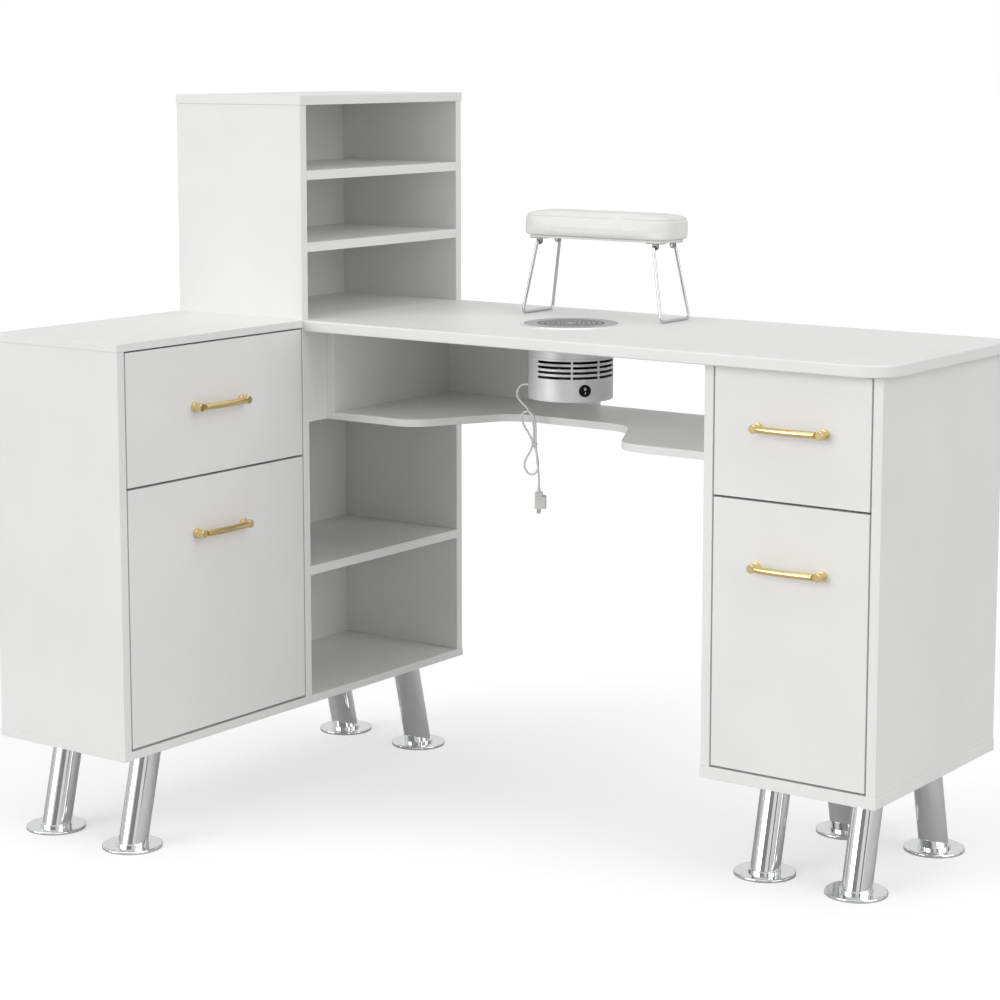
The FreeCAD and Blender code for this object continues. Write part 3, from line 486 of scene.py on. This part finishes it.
def make_stitches(piece, low, high):
    """Short thread stitches just above the seam line, laid against the cover."""
    centre = (low + high) / 2
    half_x, half_y = (high.x - low.x) / 2 + LOOK_OUT, (high.y - low.y) / 2 + LOOK_OUT
    outline = plan_outline(half_x, half_y, LOOK_CORNER, LOOK_STEPS)
    z = high.z - SEAM_DROP + STITCH_RISE
    bm = bmesh.new()
    places = []
    for (x0, y0), (x1, y1) in zip(outline, outline[1:] + outline[:1]):
        start, end = Vector((x0, y0, 0.0)), Vector((x1, y1, 0.0))
        count = max(1, round((end - start).length / STITCH_PITCH))
        places += [(start.lerp(end, (i + 0.5) / count), (end - start).normalized()) for i in range(count)]
    for spot, along in places:
        outside = Vector((centre.x + spot.x, centre.y + spot.y, z))
        inward = Vector((-along.y, along.x, 0.0))
        hit, point, normal, _ = piece.ray_cast(outside, inward)
        if not hit:
            continue
        up = normal.cross(along).normalized()
        rings = []
        for t, size in STITCH_TAPER:
            base = point + along * t * STITCH_HALF + normal * STITCH_LIFT
            spokes = [up * math.cos(k * math.pi / 2) + normal * math.sin(k * math.pi / 2) for k in range(4)]
            rings.append([bm.verts.new(base + spoke * THREAD_RADIUS * size) for spoke in spokes])
        loft(bm, rings)
    bmesh.ops.recalc_face_normals(bm, faces=bm.faces)
    mesh = mesh_from(bm, "cushion_stitches")
    smooth(mesh)
    add_piece("cushion_stitches", mesh, "cord_white", REST)


# ---------------------------------------------------------------- switch marks
SWITCH_BEARING = -36.7       # degrees, the way the rocker faces
MARK_LIFT = 0.00012
MARK_OFFSET = 0.0031         # middle of each mark above or below the rocker's middle
RING_HALF_WIDE = 0.0014
RING_HALF_TALL = 0.0018
RING_POINTS = 20
RING_THICK = 0.0005
BAR_OFFSETS = (-0.0017, -0.0006, 0.0006, 0.0017)
BAR_THICK = 0.0006
TUBE_SIDES = 8
FACE_SEARCH = 0.02           # how far in front of the rocker its face is looked for from


def make_marks():
    """Raised off ring and on bar on the two halves of the rocker."""
    low, high = box_of("switch_rocker")
    bearing = math.radians(SWITCH_BEARING)
    out = Vector((math.cos(bearing), math.sin(bearing), 0.0))
    side = Vector((-out.y, out.x, 0.0))
    rocker = nodes["switch_rocker"]
    middle = (low + high) / 2
    bm = bmesh.new()

    def on_face(across, z):
        start = Vector((middle.x, middle.y, z)) + out * FACE_SEARCH + side * across
        hit, point, normal, _ = rocker.ray_cast(start, -out)
        return point + normal * MARK_LIFT if hit else None

    def tube(points, radius, closed):
        rings = []
        for i, point in enumerate(points):
            before = points[i - 1] if closed or i else point
            after = points[(i + 1) % len(points)] if closed or i < len(points) - 1 else point
            along = (after - before).normalized()
            across = along.cross(out).normalized()
            rings.append([bm.verts.new(point + (across * math.cos(a) + out * math.sin(a)) * radius)
                          for a in (k * math.tau / TUBE_SIDES for k in range(TUBE_SIDES))])
        loft(bm, rings, closed)

    ring_z, bar_z = middle.z + MARK_OFFSET, middle.z - MARK_OFFSET
    ring_points = [on_face(RING_HALF_WIDE * math.cos(a), ring_z + RING_HALF_TALL * math.sin(a))
                   for a in (k * math.tau / RING_POINTS for k in range(RING_POINTS))]
    bar_points = [on_face(0.0, bar_z + offset) for offset in BAR_OFFSETS]
    if None not in ring_points:
        tube(ring_points, RING_THICK, True)
    if None not in bar_points:
        tube(bar_points, BAR_THICK, False)
    bmesh.ops.recalc_face_normals(bm, faces=bm.faces)
    mesh = mesh_from(bm, "switch_marks")
    smooth(mesh)
    add_piece("switch_marks", mesh, "mark_white", "rocker")


# ---------------------------------------------------------------- floor and light
FLOOR_CELLS = 8
FLOOR_SIZE = 60.0
AMBIENT = 0.4                # world strength as light on the furniture
SEEN_BY_GLOSS = 0.8          # world strength in reflections
BACKDROP = 1.0               # world strength behind the furniture
SUNS = (                     # name, towards, energy, spread in degrees
    ("front_key", (-0.42, -0.86, 0.3), 1.32, 40.0),
    ("side_fill", (0.9, -0.05, 0.43), 0.9, 55.0),
    ("top_soft", (0.05, -0.1, 1.0), 0.72, 60.0),
)


def make_floor():
    bm = bmesh.new()
    bmesh.ops.create_grid(bm, x_segments=FLOOR_CELLS, y_segments=FLOOR_CELLS, size=FLOOR_SIZE)
    floor = new_object("floor", mesh_from(bm, "floor"))
    floor.data.materials.append(floor_material())


def sun_from(name, towards, energy, spread):
    data = bpy.data.lights.new(name, "SUN")
    data.energy = energy
    data.angle = math.radians(spread)
    light = new_object(name, data)
    light.rotation_euler = Vector(towards).to_track_quat("Z", "Y").to_euler()


def make_light():
    world = bpy.data.worlds.new("studio")
    scene.world = world
    world.use_nodes = True
    n = Nodes(world.node_tree)
    path = n.add("ShaderNodeLightPath")
    ambient = n.add("ShaderNodeBackground", Strength=AMBIENT)
    polished = n.add("ShaderNodeBackground", Strength=SEEN_BY_GLOSS)
    backdrop = n.add("ShaderNodeBackground", Strength=BACKDROP)
    for node in (ambient, polished, backdrop):
        node.inputs["Color"].default_value = (1.0, 1.0, 1.0, 1.0)
    last = ambient.outputs[0]
    for switch, node in (("Is Glossy Ray", polished), ("Is Camera Ray", backdrop)):
        mix = n.add("ShaderNodeMixShader")
        n.link(path.outputs[switch], mix.inputs[0])
        n.link(last, mix.inputs[1])
        n.link(node.outputs[0], mix.inputs[2])
        last = mix.outputs[0]
    n.link(last, n.add("ShaderNodeOutputWorld").inputs["Surface"])
    for sun in SUNS:
        sun_from(*sun)
    scene.view_settings.view_transform = "Standard"


# ---------------------------------------------------------------- cards for reflections
CARDS = (                    # bearing in degrees, distance, width, grey
    (-76.0, 4.2, 2.4, 0.5),
    (-34.0, 4.2, 0.5, 0.25),
    (50.0, 3.0, 0.4, 0.02),
    (78.0, 3.2, 0.7, 0.4),
)
CARD_TALL = 1.5


def card_material(grey):
    material, n, principled = shader(f"card_{round(grey * 100)}")
    n.link(n.ramp(n.noise(n.place(), 2.0), [(0.3, (grey * 0.96,) * 3), (0.7, (grey * 1.04,) * 3)]),
           principled.inputs["Base Color"])
    return material


def make_cards():
    """Upright cards round the set that only polished surfaces reflect, as grey and dark bands."""
    for i, (bearing, distance, wide, grey) in enumerate(CARDS):
        angle = math.radians(bearing)
        bm = bmesh.new()
        bm.faces.new([bm.verts.new((x * wide / 2, 0.0, z * CARD_TALL))
                      for x, z in ((-1, 0), (1, 0), (1, 1), (-1, 1))])
        card = new_object(f"card_{i}", mesh_from(bm, f"card_{i}"))
        card.location = (distance * math.cos(angle), distance * math.sin(angle), 0.0)
        card.rotation_euler = (0.0, 0.0, angle + math.pi / 2)
        card.data.materials.append(card_material(grey))
        card.visible_camera = False
        card.visible_diffuse = False
        card.visible_shadow = False
        card.visible_transmission = False


make_camera()
make_cord()
dress_frame()
make_cushion()
make_marks()
make_floor()
make_cards()
make_light()

bpy.context.view_layer.update()
